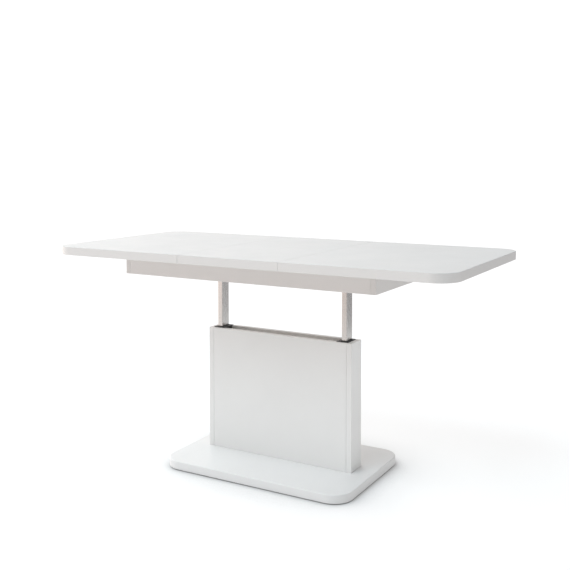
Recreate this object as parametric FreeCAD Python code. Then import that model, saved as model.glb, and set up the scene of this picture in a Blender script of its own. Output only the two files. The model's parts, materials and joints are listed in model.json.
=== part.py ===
import FreeCAD, Part
import math
import os

# Extendable, height-adjustable dining table. Millimetres, +X along the top, -Y the front, +Z up.
# The origin is on the floor, under the middle of the base.

# --- Table top ---
TABLE_HEIGHT = 750.0
TOP_LENGTH = 1450.0
TOP_DEPTH = 686.0
TOP_THICKNESS = 28.0
TOP_CORNER_RADIUS = 70.0
TOP_EDGE_RADIUS = 1.6
INSERT_WIDTH = 372.0
SEAM_GAP = 0.6
SEAM_BEVEL = 0.8
PAD_X = (-150.0, -50.0, 50.0, 150.0)
PAD_LENGTH = 30.0
PAD_DEPTH = 10.0
LOCATOR_X = (-120.0, 120.0)
LOCATOR_LENGTH = 40.0
LOCATOR_DEPTH = 17.0
LOCATOR_HEIGHT = 7.0
LOCATOR_CORNER_RADIUS = 2.0

# --- Apron box under the top ---
APRON_LENGTH = 932.0
APRON_DEPTH = 522.0
APRON_BOTTOM = 662.0
APRON_TOP_GAP = 1.5
APRON_FACE_THICKNESS = 16.0
APRON_END_THICKNESS = 18.0
BOARD_EDGE_RADIUS = 0.8
BOARD_JOINT_GAP = 0.15
BOTTOM_PANEL_THICKNESS = 4.0
BOTTOM_PANEL_RISE = 2.0
CORNER_BLOCK_SIZE = 40.0
LEVER_SLOT_Y = (4.0, 44.0)
LEVER_SLOT_MARGIN = 4.0

# --- Column ---
COLUMN_LENGTH = 560.0
COLUMN_DEPTH = 76.0
COLUMN_TOP = 456.0
COLUMN_SIDE_THICKNESS = 18.0
COLUMN_FACE_THICKNESS = 16.0
COLUMN_GROOVE = 0.5
BATTEN_HEIGHT = 20.0
LOWER_BATTEN_BOTTOM = 45.0
UPPER_BATTEN_BOTTOM = 380.0

# --- Base ---
BASE_LENGTH = 692.0
BASE_DEPTH = 454.0
BASE_THICKNESS = 28.0
BASE_CORNER_RADIUS = 66.0
BASE_EDGE_RADIUS = 3.0
BASE_UNDERSIDE_EDGE_RADIUS = 1.5
GLIDE_HEIGHT = 3.0
GLIDE_RADIUS = 16.0
GLIDE_EDGE_RADIUS = 0.8
GLIDE_SPACING_X = 540.0
GLIDE_SPACING_Y = 380.0
BALLAST_LENGTH = 540.0
BALLAST_DEPTH = 320.0
BALLAST_THICKNESS = 8.0
BALLAST_MARGIN = 1.0

# --- Telescopic posts, guide frame and gas springs ---
POST_SPACING = 491.0
POST_WIDTH = 20.0
POST_DEPTH = 40.0
POST_WALL = 1.5
POST_CORNER_RADIUS = 2.0
POST_BOTTOM = 280.0
POST_SHOE_LENGTH = 30.0
POST_SHOE_PLUG = 12.0
POST_FLANGE_LENGTH = 56.0
POST_FLANGE_DEPTH = 110.0
POST_FLANGE_THICKNESS = 4.0
POST_FLANGE_CORNER_RADIUS = 5.0
FLANGE_BOLT_RADIUS = 3.0
FLANGE_BOLT_X = (-18.0, 18.0)
FLANGE_BOLT_Y = (-42.0, 42.0)
NUT_HALF_WIDTH = 5.0
NUT_HEIGHT = 5.0
BOLT_HEAD_HEIGHT = 4.0
BOLT_END = 6.0
GUIDE_WIDTH = 24.0
GUIDE_DEPTH = 44.0
GUIDE_WALL = 1.5
GUIDE_TOP = 446.0
FOOT_PLATE_THICKNESS = 6.0
ANCHOR_BOLT_RADIUS = 4.0
ANCHOR_HEAD_RADIUS = 7.0
ANCHOR_HEAD_HEIGHT = 4.5
ANCHOR_HEAD_RISE = 0.5
ANCHOR_SOCKET_HALF_WIDTH = 2.5
ANCHOR_SOCKET_DEPTH = 2.5
ANCHOR_BOLT_END = 2.0
ANCHOR_BOLT_CLEARANCE = 0.5
COUNTERBORE_RADIUS = 8.0
COUNTERBORE_DEPTH = 5.0
ANCHOR_BOLT_X = (70.0, 200.0)
ANCHOR_BOLT_Y = 12.0
CAP_PROUD = 2.0
CAP_REACH_Y = 30.0
CAP_INNER_X = 222.0
CAP_OUTER_X = 264.0
CAP_EDGE_RADIUS = 0.8
CAP_SKIRT_INSET = 2.0
CYLINDER_RADIUS = 7.5
CYLINDER_BORE_RADIUS = 6.5
CYLINDER_BOTTOM = 40.0
CYLINDER_TOP = 440.0
CYLINDER_FLOOR = 4.0
CYLINDER_HEAD = 8.0
CYLINDER_EDGE_RADIUS = 1.0
STUD_RADIUS = 4.0
SHOE_BORE_MARGIN = 0.5
ROD_RADIUS = 3.0
ROD_TOP = 678.0
ROD_BOTTOM = 418.0
PISTON_LENGTH = 12.0
PIN_RADIUS = 1.2
PIN_BOTTOM = 650.0
PIN_BORE_END = 8.0
PIN_TOP = 681.5

# --- Cross channels and slide rails in the apron box ---
CHANNEL_WIDTH = 60.0
CHANNEL_WALL = 3.0
CHANNEL_TOP = 690.0
CHANNEL_LIP = 16.0
TAB_SCREW_X = 17.0
TAB_SCREW_Z = 680.0
TAB_SCREW_RADIUS = 2.0
TAB_SCREW_LENGTH = 12.0
TAB_SCREW_HEAD_RADIUS = 4.0
TAB_SCREW_HEAD_HEIGHT = 2.0
RAIL_WIDTH = 44.0
RAIL_TOP = 720.0
RAIL_WALL = 2.5
RAIL_FLOOR = 704.0
RAIL_LIP_DEPTH = 6.0
RAIL_BOLT_RADIUS = 2.5
RAIL_BOLT_HEAD_RADIUS = 4.5
RAIL_BOLT_HEAD_HEIGHT = 3.0
RAIL_BOLT_END = 6.0
RAIL_BOLT_SOCKET = (1.5, 1.8)
RUNNER_LENGTH = 461.8
RUNNER_TAIL = 28.0
RUNNER_OUTER_FACE = 19.3
RUNNER_FOOT_HEIGHT = 10.2
RUNNER_NECK = (7.0, 13.2)
RUNNER_TAIL_DROP = 0.5
RUNNER_RISE = 0.2
RUNNER_SCREW_X = (215.0, 320.0, 425.0)
RUNNER_SCREW_RADIUS = 1.75
RUNNER_SCREW_DEPTH = 15.0
RUNNER_SCREW_END = 10.0
COUNTERSINK_RECESS = 0.4
COUNTERSINK_DEPTH = 2.0
COUNTERSINK_RADIUS = 3.4
SCREW_HEAD_RADIUS = 3.2
TOOTH_MODULE = 5.0 / 6.0
PINION_TEETH = 18
PINION_THICKNESS = 8.0
PINION_AXLE_RADIUS = 2.0
PINION_RISE = 1.0
WASHER_RADIUS = 4.0
WASHER_RISE = 0.2
WASHER_THICKNESS = 0.8
RIB_SIDE_GAP = 0.3
RIB_TOP_GAP = 0.4
PINION_POCKET_MARGIN = 1.5
TOOTH_TIP_RELIEF = 0.05
PRESSURE_ANGLE = math.radians(20.0)
BACKLASH = 0.24
LEAF_CLOSING_TRAVEL = 186.0

# --- Release lever ---
SHAFT_RADIUS = 4.0
SHAFT_Y = 20.0
SHAFT_Z = 681.0
SHAFT_END_X = 322.0
COLLAR_RADIUS = 6.0
COLLAR_WIDTH = 10.0
FINGER_GAP = 0.3
FINGER_HEIGHT = 4.5
FINGER_END_Y = -4.0
SHAFT_OVERHANG = 6.0
BUSH_FLANGE = 1.5
EYE_RADIUS = 9.0
LEVER_X = 300.0
LEVER_THICKNESS = 5.0
GRIP_Y = 196.0
GRIP_Z = 632.0
GRIP_RADIUS = 8.0
GRIP_LENGTH = 84.0
GRIP_END_RADIUS = 3.0
SPRING_WIRE_RADIUS = 0.6
SPRING_TURNS = 4
SPRING_TURN_GAP = 0.3
SPRING_SHAFT_GAP = 1.2
SPRING_LEVER_GAP = 1.5

RUNNING_CLEARANCE = 0.05
SLIDING_CLEARANCE = 0.1
SCREW_CLEARANCE = 0.05

# --- Places worked out from the dimensions above ---
BASE_TOP = GLIDE_HEIGHT + BASE_THICKNESS
LEAF_BOTTOM = TABLE_HEIGHT - TOP_THICKNESS
APRON_TOP = LEAF_BOTTOM - APRON_TOP_GAP
APRON_INNER_X = APRON_LENGTH / 2 - APRON_END_THICKNESS
APRON_INNER_Y = APRON_DEPTH / 2 - APRON_FACE_THICKNESS
COLUMN_INNER_X = COLUMN_LENGTH / 2 - COLUMN_SIDE_THICKNESS
COLUMN_INNER_Y = COLUMN_DEPTH / 2 - COLUMN_FACE_THICKNESS
POST_X = POST_SPACING / 2
PANEL_BOTTOM = APRON_BOTTOM + BOTTOM_PANEL_RISE
PANEL_TOP = PANEL_BOTTOM + BOTTOM_PANEL_THICKNESS
WEB_TOP = PANEL_TOP + CHANNEL_WALL
FOOT_PLATE_TOP = BASE_TOP + FOOT_PLATE_THICKNESS
RAIL_CENTRE_Y = APRON_INNER_Y - RAIL_WIDTH / 2
RAIL_FLOOR_TOP = RAIL_FLOOR + RAIL_WALL
RUNNER_BOTTOM = RAIL_FLOOR_TOP + RUNNER_RISE
PITCH_RADIUS = TOOTH_MODULE * PINION_TEETH / 2
TOOTH_PITCH = math.pi * TOOTH_MODULE
ADDENDUM = TOOTH_MODULE
DEDENDUM = 1.25 * TOOTH_MODULE
PINION_BOTTOM = RUNNER_BOTTOM + PINION_RISE
OUTER_LANE_Y = RAIL_CENTRE_Y + sum(RUNNER_NECK) / 2
INNER_LANE_Y = RAIL_CENTRE_Y - sum(RUNNER_NECK) / 2
RIGHT_LANES = (OUTER_LANE_Y, -INNER_LANE_Y)
FLANGE_BOLT_PLACES = [(x, y) for x in FLANGE_BOLT_X for y in FLANGE_BOLT_Y]
SIDES = (("left", -1), ("right", 1))
FACES = (("front", -1), ("back", 1))
UP = FreeCAD.Vector(0, 0, 1)
ALONG_X = FreeCAD.Vector(1, 0, 0)
ALONG_Y = FreeCAD.Vector(0, 1, 0)


def vec(x, y, z):
    return FreeCAD.Vector(x, y, z)


def block(x_low, x_high, y_low, y_high, z_low, z_high):
    """Box between two corners."""
    low = vec(min(x_low, x_high), min(y_low, y_high), z_low)
    return Part.makeBox(abs(x_high - x_low), abs(y_high - y_low), z_high - z_low, low)


def rod(radius, start, length, direction=UP):
    return Part.makeCylinder(radius, length, start, direction)


def prism(points, extrusion):
    """Closed straight-sided outline, swept along a vector."""
    wire = Part.makePolygon(list(points) + [points[0]])
    return Part.Face(wire).extrude(extrusion)


def fuse(shapes):
    result = shapes[0].multiFuse(shapes[1:]) if len(shapes) > 1 else shapes[0]
    return result.removeSplitter()


def cut(shape, tools):
    return shape.cut(Part.makeCompound(tools))


def soften(shape, radius):
    """Round every edge of a sawn board."""
    return shape.makeFillet(radius, shape.Edges)


def vertical_edges(shape, test):
    """Upright edges whose middle passes the test."""
    found = []
    for edge in shape.Edges:
        direction = edge.Vertexes[-1].Point - edge.Vertexes[0].Point
        upright = abs(direction.z) > 0.99 * direction.Length
        if upright and test(edge.CenterOfMass):
            found.append(edge)
    return found


def level_edges(shape, z, test):
    """Edges lying at one height whose middle passes the test."""
    found = []
    for edge in shape.Edges:
        middle = edge.CenterOfMass
        box = edge.BoundBox
        if abs(middle.z - z) < 1e-6 and box.ZLength < 1e-6 and test(middle):
            found.append(edge)
    return found


def turned(shape):
    """Half a turn about the table's vertical centre line."""
    copy = shape.copy()
    copy.rotate(vec(0, 0, 0), UP, 180)
    return copy


def mirrored_x(shape):
    return shape.mirror(vec(0, 0, 0), ALONG_X)


def mirrored_y(shape):
    return shape.mirror(vec(0, 0, 0), ALONG_Y)


def save(name, shape):
    shape.exportStep("parts/" + name + ".step")


def save_group(name, shapes):
    save(name, Part.makeCompound(shapes))


# ---------------------------------------------------------------- table top

def screw_places(along, across):
    """Points of a grid of fasteners, as (x, y) pairs."""
    return [(x, y) for x in along for y in across]


def right_leaf():
    """Outer board with two rounded corners and a square seam edge."""
    seam = INSERT_WIDTH / 2
    end = TOP_LENGTH / 2
    half = TOP_DEPTH / 2
    leaf = block(seam, end, -half, half, LEAF_BOTTOM, TABLE_HEIGHT)
    corners = vertical_edges(leaf, lambda p: p.x > end - 1)
    leaf = leaf.makeFillet(TOP_CORNER_RADIUS, corners)
    beyond_seam = lambda p: p.x > seam + 1
    rims = level_edges(leaf, TABLE_HEIGHT, beyond_seam)
    rims += level_edges(leaf, LEAF_BOTTOM, beyond_seam)
    leaf = leaf.makeFillet(TOP_EDGE_RADIUS, rims)
    tools = seam_bevels(seam, 1)
    pilot_radius = RUNNER_SCREW_RADIUS + SCREW_CLEARANCE
    for x, y in screw_places(RUNNER_SCREW_X, RIGHT_LANES):
        tools.append(rod(pilot_radius, vec(x, y, LEAF_BOTTOM), RUNNER_SCREW_DEPTH))
    return cut(leaf, tools)


def seam_bevels(seam, side):
    """Small bevels along a seam edge: top, and the two short upright edges."""
    half = TOP_DEPTH / 2
    size = SEAM_BEVEL
    top = prism(
        [
            vec(seam, -half - 1, TABLE_HEIGHT - size),
            vec(seam, -half - 1, TABLE_HEIGHT + 1),
            vec(seam + side * (size + 1), -half - 1, TABLE_HEIGHT + 1),
        ],
        vec(0, TOP_DEPTH + 2, 0),
    )
    tools = [top]
    for face in (-1, 1):
        tools.append(
            prism(
                [
                    vec(seam, face * (half - size), LEAF_BOTTOM - 1),
                    vec(seam, face * (half + 1), LEAF_BOTTOM - 1),
                    vec(seam + side * (size + 1), face * (half + 1), LEAF_BOTTOM - 1),
                ],
                vec(0, 0, TOP_THICKNESS + 2),
            )
        )
    return tools


def insert_leaf():
    """Middle board, a hair narrower than the space between the two leaves."""
    edge = INSERT_WIDTH / 2 - SEAM_GAP / 2
    half = TOP_DEPTH / 2
    leaf = block(-edge, edge, -half, half, LEAF_BOTTOM, TABLE_HEIGHT)
    away = lambda p: abs(p.y) > half - 1
    rims = level_edges(leaf, TABLE_HEIGHT, away) + level_edges(leaf, LEAF_BOTTOM, away)
    leaf = leaf.makeFillet(TOP_EDGE_RADIUS, rims)
    return cut(leaf, seam_bevels(edge, -1) + seam_bevels(-edge, 1))


def insert_pads():
    """Felt pads that rest on the apron boards."""
    pads = []
    y = APRON_DEPTH / 2 - APRON_FACE_THICKNESS / 2
    half_x = PAD_LENGTH / 2
    half_y = PAD_DEPTH / 2
    for x in PAD_X:
        for centre in (-y, y):
            pad = block(x - half_x, x + half_x, centre - half_y, centre + half_y, APRON_TOP, LEAF_BOTTOM)
            pads.append(pad)
    return pads


def insert_locators():
    """Plastic blocks that hold the insert square between the two rails."""
    blocks = []
    half = LOCATOR_LENGTH / 2
    outer = APRON_INNER_Y - RAIL_WIDTH - 1
    inner = outer - LOCATOR_DEPTH
    low = LEAF_BOTTOM - LOCATOR_HEIGHT
    for x in LOCATOR_X:
        for face in (-1, 1):
            locator = block(x - half, x + half, face * inner, face * outer, low, LEAF_BOTTOM)
            upright = vertical_edges(locator, lambda p: True)
            blocks.append(locator.makeFillet(LOCATOR_CORNER_RADIUS, upright))
    return blocks


def runner_screws():
    """Countersunk screws up through the runners into the right leaf."""
    screws = []
    head_bottom = RUNNER_BOTTOM + COUNTERSINK_RECESS
    shank_bottom = RUNNER_BOTTOM + COUNTERSINK_DEPTH
    length = LEAF_BOTTOM + RUNNER_SCREW_END + COUNTERSINK_DEPTH - shank_bottom
    for x, y in screw_places(RUNNER_SCREW_X, RIGHT_LANES):
        shank = rod(RUNNER_SCREW_RADIUS, vec(x, y, shank_bottom), length)
        head_start = vec(x, y, head_bottom)
        head = Part.makeCone(SCREW_HEAD_RADIUS, RUNNER_SCREW_RADIUS, COUNTERSINK_DEPTH, head_start, UP)
        screws.append(fuse([shank, head]))
    return screws


# ---------------------------------------------------------------- slide mechanism

def rack_outline(first, last):
    """Trapezoid teeth as (x, offset from the pitch line) pairs, tips towards the pinion."""
    slope = math.tan(PRESSURE_ANGLE)
    half_pitch_width = TOOTH_PITCH / 4 - BACKLASH / 4
    points = []
    for index in range(first, last):
        middle = (index + 0.5) * TOOTH_PITCH
        root_half = half_pitch_width + DEDENDUM * slope
        tip_half = half_pitch_width - ADDENDUM * slope
        points.append((middle - root_half, DEDENDUM))
        points.append((middle - tip_half, -ADDENDUM))
        points.append((middle + tip_half, -ADDENDUM))
        points.append((middle + root_half, DEDENDUM))
    return points


def outer_lane_runner():
    """Right leaf's runner in the back rail: toothed foot, narrow neck up to the leaf."""
    start = -RUNNER_TAIL
    end = start + RUNNER_LENGTH
    pitch_line = RAIL_CENTRE_Y + PITCH_RADIUS
    root_line = pitch_line + DEDENDUM
    outer = RAIL_CENTRE_Y + RUNNER_OUTER_FACE
    first = math.ceil(start / TOOTH_PITCH)
    last = int((LEAF_CLOSING_TRAVEL + RUNNER_TAIL / 2) / TOOTH_PITCH)
    outline = [vec(start, outer, RUNNER_BOTTOM), vec(start, root_line, RUNNER_BOTTOM)]
    for x, offset in rack_outline(first, last):
        outline.append(vec(x, pitch_line + offset, RUNNER_BOTTOM))
    outline.append(vec(end, root_line, RUNNER_BOTTOM))
    outline.append(vec(end, outer, RUNNER_BOTTOM))
    foot = prism(outline, vec(0, 0, RUNNER_FOOT_HEIGHT))
    neck_low = RAIL_CENTRE_Y + RUNNER_NECK[0] + DEDENDUM + 1
    neck_high = RAIL_CENTRE_Y + RUNNER_NECK[1]
    neck_base = RUNNER_BOTTOM + RUNNER_FOOT_HEIGHT
    tail_end = INSERT_WIDTH / 2 + 1
    tail = block(start, tail_end, neck_low, neck_high, neck_base, LEAF_BOTTOM - RUNNER_TAIL_DROP)
    neck = block(tail_end, end, neck_low, neck_high, neck_base, LEAF_BOTTOM)
    return cut(fuse([foot, tail, neck]), countersunk_holes())


def countersunk_holes():
    """Screw holes of the outer lane: shank bore, cone for the head and a shallow recess below it."""
    holes = []
    bore_radius = RUNNER_SCREW_RADIUS + SCREW_CLEARANCE
    for x in RUNNER_SCREW_X:
        low = vec(x, OUTER_LANE_Y, RUNNER_BOTTOM)
        cone_start = low + UP * COUNTERSINK_RECESS
        holes.append(rod(bore_radius, low, LEAF_BOTTOM - RUNNER_BOTTOM))
        holes.append(rod(COUNTERSINK_RADIUS, low, COUNTERSINK_RECESS))
        holes.append(Part.makeCone(COUNTERSINK_RADIUS, bore_radius, COUNTERSINK_DEPTH, cone_start, UP))
    return holes


def inner_lane_runner():
    """Right leaf's runner in the front rail: the same section, facing the other side of its pinion."""
    flipped = outer_lane_runner().mirror(vec(0, RAIL_CENTRE_Y, 0), ALONG_Y)
    return mirrored_y(flipped)


def back_rail():
    """Aluminium extrusion: hollow foot, wide groove, two hold-down lips and a centre rib."""
    low = APRON_INNER_Y - RAIL_WIDTH
    high = APRON_INNER_Y
    end = APRON_INNER_X
    body = block(-end, end, low, high, CHANNEL_TOP, RAIL_TOP)
    chamber = block(-end, end, low + RAIL_WALL, high - RAIL_WALL, CHANNEL_TOP + RAIL_WALL, RAIL_FLOOR)
    groove = block(-end, end, low + RAIL_WALL, high - RAIL_WALL, RAIL_FLOOR_TOP, RAIL_TOP - RAIL_WALL)
    lip = RAIL_WALL + RAIL_LIP_DEPTH
    mouth = block(-end, end, low + lip, high - lip, RAIL_TOP - RAIL_WALL, RAIL_TOP)
    body = cut(body, [chamber, groove, mouth])
    holes = [rod(PINION_AXLE_RADIUS, vec(0, RAIL_CENTRE_Y, RAIL_FLOOR), RAIL_WALL)]
    bolt_bore = RAIL_BOLT_RADIUS + SCREW_CLEARANCE
    for x in rail_bolt_places():
        holes.append(rod(bolt_bore, vec(x, RAIL_CENTRE_Y, CHANNEL_TOP), RAIL_WALL))
    return cut(fuse([body] + rail_rib().Solids), holes)


def rail_rib():
    """Centre rib of the back rail, in two lengths with the pinion's pocket between them."""
    end = APRON_INNER_X
    half = PITCH_RADIUS - ADDENDUM - RIB_SIDE_GAP
    top = RUNNER_BOTTOM + RUNNER_FOOT_HEIGHT - RIB_TOP_GAP
    low = RAIL_CENTRE_Y - half
    high = RAIL_CENTRE_Y + half
    rib = block(-end, end, low, high, RAIL_FLOOR_TOP, top)
    pocket = PITCH_RADIUS + ADDENDUM + PINION_POCKET_MARGIN
    return cut(rib, [block(-pocket, pocket, low, high, RAIL_FLOOR_TOP, top)])


def rail_bolt_places():
    """Bolt positions along a rail: one in each lip of each cross channel."""
    offset = CHANNEL_WIDTH / 2 + CHANNEL_LIP / 2
    return [side * POST_X + shift for side in (-1, 1) for shift in (-offset, offset)]


def pinion_angle(radius):
    """Half the angle that a tooth takes up at a radius."""
    base = PITCH_RADIUS * math.cos(PRESSURE_ANGLE)
    at_pitch = math.pi / (2 * PINION_TEETH) - BACKLASH / (4 * PITCH_RADIUS)
    slant = math.acos(min(1.0, base / radius))
    involute = math.tan(slant) - slant
    return at_pitch + math.tan(PRESSURE_ANGLE) - PRESSURE_ANGLE - involute


def back_pinion():
    """Small spur gear between the two racks of a rail."""
    base = PITCH_RADIUS * math.cos(PRESSURE_ANGLE)
    tip = PITCH_RADIUS + ADDENDUM - TOOTH_TIP_RELIEF
    radii = (PITCH_RADIUS - DEDENDUM, base, PITCH_RADIUS, tip)
    rising = [(r, -pinion_angle(r)) for r in radii]
    falling = [(r, pinion_angle(r)) for r in reversed(radii)]
    outline = []
    for tooth in range(PINION_TEETH):
        middle = math.pi / 2 + tooth * 2 * math.pi / PINION_TEETH
        for radius, shift in rising + falling:
            x = radius * math.cos(middle + shift)
            y = RAIL_CENTRE_Y + radius * math.sin(middle + shift)
            outline.append(vec(x, y, PINION_BOTTOM))
    gear = prism(outline, vec(0, 0, PINION_THICKNESS))
    bore_start = vec(0, RAIL_CENTRE_Y, PINION_BOTTOM)
    bore = rod(PINION_AXLE_RADIUS + RUNNING_CLEARANCE, bore_start, PINION_THICKNESS)
    return cut(gear, [bore])


def pinion_axles():
    """Riveted axle pins standing in the rail floors."""
    axles = []
    washer_z = PINION_BOTTOM + PINION_THICKNESS + WASHER_RISE
    pin_top = washer_z + WASHER_THICKNESS
    for face in (-1, 1):
        y = face * RAIL_CENTRE_Y
        pin = rod(PINION_AXLE_RADIUS, vec(0, y, RAIL_FLOOR), pin_top - RAIL_FLOOR)
        washer = rod(WASHER_RADIUS, vec(0, y, washer_z), WASHER_THICKNESS)
        axles.append(fuse([pin, washer]))
    return axles


def rail_bolts():
    """Pan-head bolts up through the channel lips into the rails."""
    bolts = []
    lip_bottom = CHANNEL_TOP - CHANNEL_WALL
    head_bottom = lip_bottom - RAIL_BOLT_HEAD_HEIGHT
    for x in rail_bolt_places():
        for face in (-1, 1):
            y = face * RAIL_CENTRE_Y
            shank = rod(RAIL_BOLT_RADIUS, vec(x, y, lip_bottom), CHANNEL_WALL + RAIL_BOLT_END)
            head = rod(RAIL_BOLT_HEAD_RADIUS, vec(x, y, head_bottom), RAIL_BOLT_HEAD_HEIGHT)
            socket_radius, socket_depth = RAIL_BOLT_SOCKET
            socket = rod(socket_radius, vec(x, y, head_bottom), socket_depth)
            bolts.append(cut(fuse([shank, head]), [socket]))
    return bolts


# ---------------------------------------------------------------- apron box

def apron_face_board():
    """Long front board, set between the two end boards."""
    edge = APRON_INNER_X - BOARD_JOINT_GAP
    outer = APRON_DEPTH / 2
    board = block(-edge, edge, -outer, -APRON_INNER_Y, APRON_BOTTOM, APRON_TOP)
    return soften(board, BOARD_EDGE_RADIUS)


def apron_end_board():
    """Short right end board, running the full depth of the box."""
    half = APRON_DEPTH / 2
    board = block(APRON_INNER_X, APRON_LENGTH / 2, -half, half, APRON_BOTTOM, APRON_TOP)
    return soften(board, BOARD_EDGE_RADIUS)


def corner_blocks():
    """Glued wooden blocks in the four inner corners of the box."""
    size = CORNER_BLOCK_SIZE
    blocks = []
    for side in (-1, 1):
        for face in (-1, 1):
            x = side * APRON_INNER_X
            y = face * APRON_INNER_Y
            outline = [
                vec(x, y, PANEL_TOP),
                vec(x - side * size, y, PANEL_TOP),
                vec(x - side * size, y - face * size / 3, PANEL_TOP),
                vec(x - side * size / 3, y - face * size, PANEL_TOP),
                vec(x, y - face * size, PANEL_TOP),
            ]
            blocks.append(prism(outline, vec(0, 0, CHANNEL_TOP - PANEL_TOP)))
    return blocks


def bottom_panel():
    """Thin panel that closes the box, with openings for the post flanges and the lever."""
    panel = block(-APRON_INNER_X, APRON_INNER_X, -APRON_INNER_Y, APRON_INNER_Y, PANEL_BOTTOM, PANEL_TOP)
    tools = []
    half_x = POST_FLANGE_LENGTH / 2 + 1
    half_y = POST_FLANGE_DEPTH / 2 + 1
    for side in (-1, 1):
        x = side * POST_X
        tools.append(block(x - half_x, x + half_x, -half_y, half_y, PANEL_BOTTOM, PANEL_TOP))
    slot_low = LEVER_X - LEVER_SLOT_MARGIN
    slot_high = LEVER_X + LEVER_THICKNESS + LEVER_SLOT_MARGIN
    tools.append(block(slot_low, slot_high, *LEVER_SLOT_Y, PANEL_BOTTOM, PANEL_TOP))
    return cut(panel, tools)


def cross_channel(side):
    """Hat-section steel cross member over one post, with end tabs against the long boards."""
    x = side * POST_X
    half = CHANNEL_WIDTH / 2
    y = APRON_INNER_Y
    lip_bottom = CHANNEL_TOP - CHANNEL_WALL
    walls = [block(x - half, x + half, -y, y, PANEL_TOP, WEB_TOP)]
    for hand in (-1, 1):
        outer = x + hand * half
        inner = outer - hand * CHANNEL_WALL
        lip_end = outer + hand * CHANNEL_LIP
        walls.append(block(outer, inner, -y, y, PANEL_TOP, CHANNEL_TOP))
        walls.append(block(inner, lip_end, -y, y, lip_bottom, CHANNEL_TOP))
    for face in (-1, 1):
        tab_inner = face * (y - CHANNEL_WALL)
        walls.append(block(x - half, x + half, tab_inner, face * y, PANEL_TOP, CHANNEL_TOP))
    return cut(fuse(walls), channel_holes(x))


def channel_holes(x):
    """Holes of one cross channel: gas rod, release shaft, flange bolts, rail bolts and tab screws."""
    half = CHANNEL_WIDTH / 2
    tools = [rod(ROD_RADIUS + SCREW_CLEARANCE, vec(x, 0, PANEL_TOP), CHANNEL_WALL)]
    tools.append(rod(COLLAR_RADIUS, vec(x - half, SHAFT_Y, SHAFT_Z), CHANNEL_WIDTH, ALONG_X))
    flange_bore = FLANGE_BOLT_RADIUS + SCREW_CLEARANCE
    for dx, dy in FLANGE_BOLT_PLACES:
        tools.append(rod(flange_bore, vec(x + dx, dy, PANEL_TOP), CHANNEL_WALL))
    lip_x = half + CHANNEL_LIP / 2
    lip_bottom = CHANNEL_TOP - CHANNEL_WALL
    tab_y = APRON_INNER_Y - CHANNEL_WALL
    for hand in (-1, 1):
        for face in (-1, 1):
            rail_bolt = vec(x + hand * lip_x, face * RAIL_CENTRE_Y, lip_bottom)
            tab_screw = vec(x + hand * TAB_SCREW_X, face * tab_y, TAB_SCREW_Z)
            tools.append(rod(RAIL_BOLT_RADIUS + SCREW_CLEARANCE, rail_bolt, CHANNEL_WALL))
            tools.append(rod(TAB_SCREW_RADIUS + SCREW_CLEARANCE, tab_screw, CHANNEL_WALL, ALONG_Y * face))
    return tools


def tab_screws():
    """Wood screws through the channel end tabs into the long boards."""
    screws = []
    for side in (-1, 1):
        for hand in (-1, 1):
            for face in (-1, 1):
                inner = face * (APRON_INNER_Y - CHANNEL_WALL)
                start = vec(side * POST_X + hand * TAB_SCREW_X, inner, TAB_SCREW_Z)
                shank = rod(TAB_SCREW_RADIUS, start, TAB_SCREW_LENGTH, ALONG_Y * face)
                head = rod(TAB_SCREW_HEAD_RADIUS, start, TAB_SCREW_HEAD_HEIGHT, ALONG_Y * -face)
                screws.append(fuse([shank, head]))
    return screws


def with_tab_screw_holes(board, face):
    """Pilot holes for the channel tab screws in a long board."""
    tools = []
    depth = TAB_SCREW_LENGTH - CHANNEL_WALL + 1
    for side in (-1, 1):
        for hand in (-1, 1):
            start = vec(side * POST_X + hand * TAB_SCREW_X, face * APRON_INNER_Y, TAB_SCREW_Z)
            tools.append(rod(TAB_SCREW_RADIUS + SCREW_CLEARANCE, start, depth, ALONG_Y * face))
    return cut(board, tools)


# ---------------------------------------------------------------- posts and gas springs

def post(side):
    """Rectangular steel tube with a welded top flange."""
    x = side * POST_X
    half_x = POST_WIDTH / 2
    half_y = POST_DEPTH / 2
    tube = block(x - half_x, x + half_x, -half_y, half_y, POST_BOTTOM, PANEL_BOTTOM)
    tube = tube.makeFillet(POST_CORNER_RADIUS, vertical_edges(tube, lambda p: True))
    inner_x = half_x - POST_WALL
    inner_y = half_y - POST_WALL
    bore = block(x - inner_x, x + inner_x, -inner_y, inner_y, POST_BOTTOM, PANEL_BOTTOM)
    tube = tube.cut(bore)
    flange = block(
        x - POST_FLANGE_LENGTH / 2,
        x + POST_FLANGE_LENGTH / 2,
        -POST_FLANGE_DEPTH / 2,
        POST_FLANGE_DEPTH / 2,
        PANEL_BOTTOM,
        PANEL_BOTTOM + POST_FLANGE_THICKNESS,
    )
    flange = flange.makeFillet(POST_FLANGE_CORNER_RADIUS, vertical_edges(flange, lambda p: True))
    tools = [rod(ROD_RADIUS + SCREW_CLEARANCE, vec(x, 0, PANEL_BOTTOM), POST_FLANGE_THICKNESS)]
    for dx, dy in FLANGE_BOLT_PLACES:
        low = vec(x + dx, dy, PANEL_BOTTOM)
        tools.append(rod(FLANGE_BOLT_RADIUS + SCREW_CLEARANCE, low, POST_FLANGE_THICKNESS))
    return cut(fuse([tube, flange]), tools)


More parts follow.
